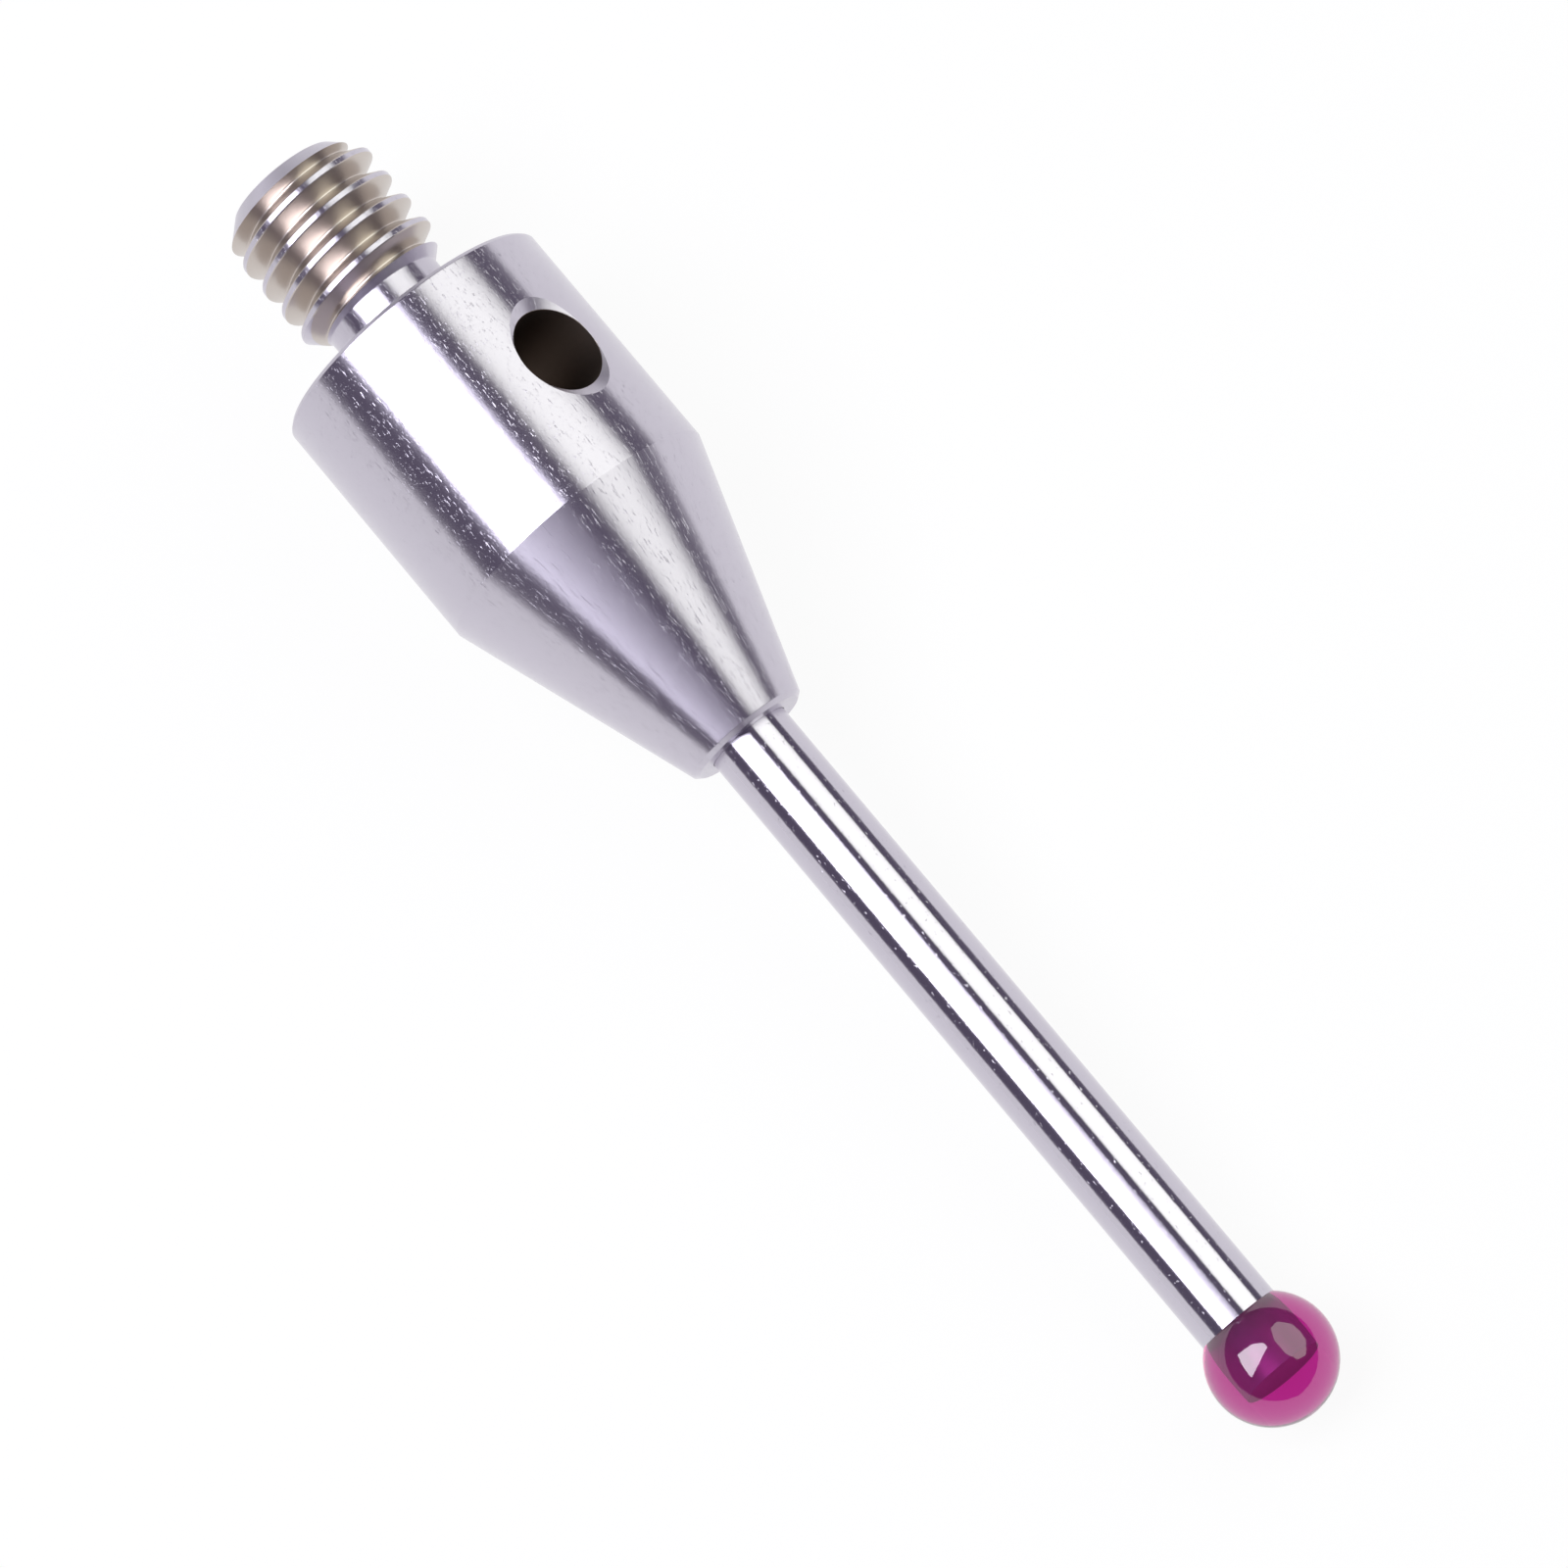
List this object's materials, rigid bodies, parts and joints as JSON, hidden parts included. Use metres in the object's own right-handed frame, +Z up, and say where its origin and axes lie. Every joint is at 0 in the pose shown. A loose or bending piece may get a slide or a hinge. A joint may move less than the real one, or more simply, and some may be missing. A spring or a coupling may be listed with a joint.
{
  "type": "touch probe stylus",
  "caption": "Touch probe stylus with a ruby ball on a slim straight stem, a tapered round holder, a threaded stud and a cross hole for a tommy bar.",
  "frame": {"origin": "centre of the shoulder face that seats in the probe, where the screw stud leaves the barrel", "axes": "+X from the stud towards the ball, level as seen from above; the stylus lies as it comes to rest, on the front rim of its barrel and on its ball, so its own axis dips 4.751 degrees below +X at the ball end; +Z up; the cross hole leans 45 degrees from upright towards +Y"},
  "size_m": [0.0361, 0.007, 0.0075],
  "materials": {
    "stainless_steel": "ground",
    "tungsten_carbide": "polished",
    "synthetic_ruby": "polished"
  },
  "bodies": {
    "root": {"holder": "stainless_steel", "stem": "tungsten_carbide", "ball": "synthetic_ruby"}
  },
  "joints": []
}
